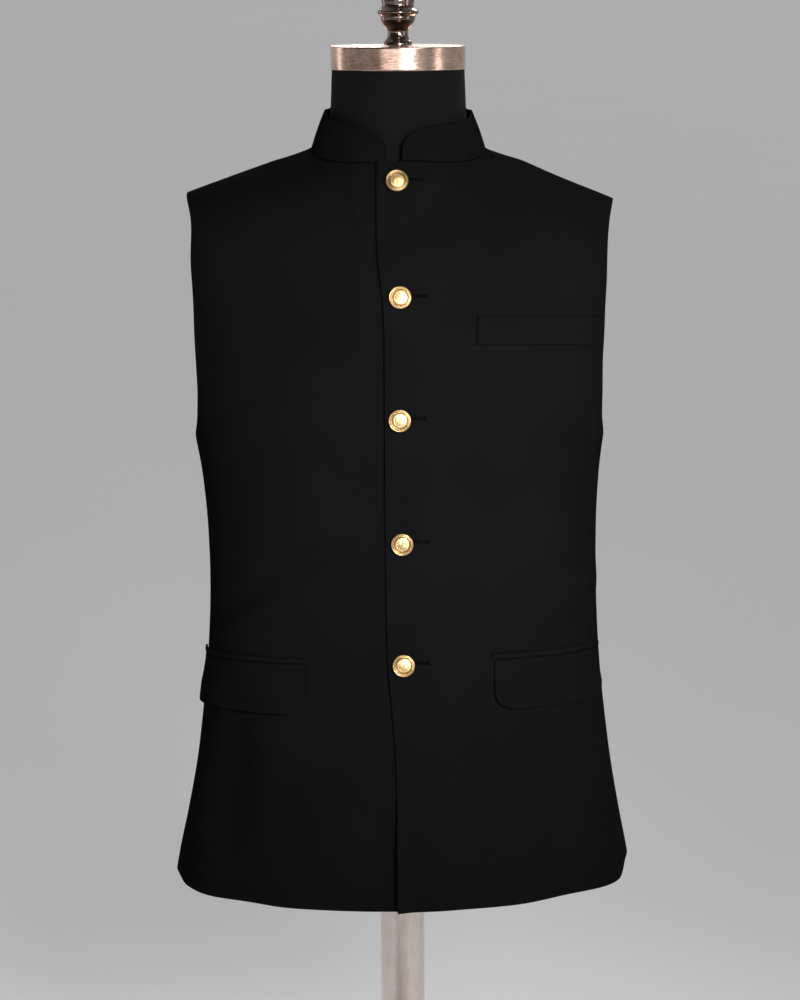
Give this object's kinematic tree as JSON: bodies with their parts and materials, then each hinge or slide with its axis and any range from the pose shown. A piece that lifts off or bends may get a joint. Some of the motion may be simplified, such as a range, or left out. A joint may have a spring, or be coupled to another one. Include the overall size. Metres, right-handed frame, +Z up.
{
  "type": "nehru jacket on dress form",
  "caption": "Sleeveless stand-collar jacket, buttoned down the front, worn by a limbless dress form on a pole with a round base.",
  "frame": {"origin": "centre of the base's underside, on the dress form's axis", "axes": "+Z up along the pole, the jacket's front faces -Y, +X is the wearer's left"},
  "size_m": [0.4251, 0.32, 1.2207],
  "materials": {
    "suiting": "matte black wool-blend suiting, fine plain weave",
    "button_metal": "antique gold, domed, relief ornament",
    "form_jersey": "matte black fine jersey",
    "brushed_copper": "brushed copper",
    "dark_bronze": "polished dark bronze",
    "polished_pole": "polished metal with a copper tint"
  },
  "bodies": {
    "root": {"front_left": "suiting", "front_right": "suiting", "back_left": "suiting", "back_right": "suiting", "collar": "suiting", "chest_welt": "suiting", "flap_left": "suiting", "flap_right": "suiting", "jet_left": "suiting", "jet_right": "suiting", "button_1": "button_metal", "button_2": "button_metal", "button_3": "button_metal", "button_4": "button_metal", "button_5": "button_metal", "dress_form": "form_jersey", "neck_cap": "brushed_copper", "finial": "dark_bronze", "pole": "polished_pole", "base": "polished_pole"}
  },
  "joints": []
}
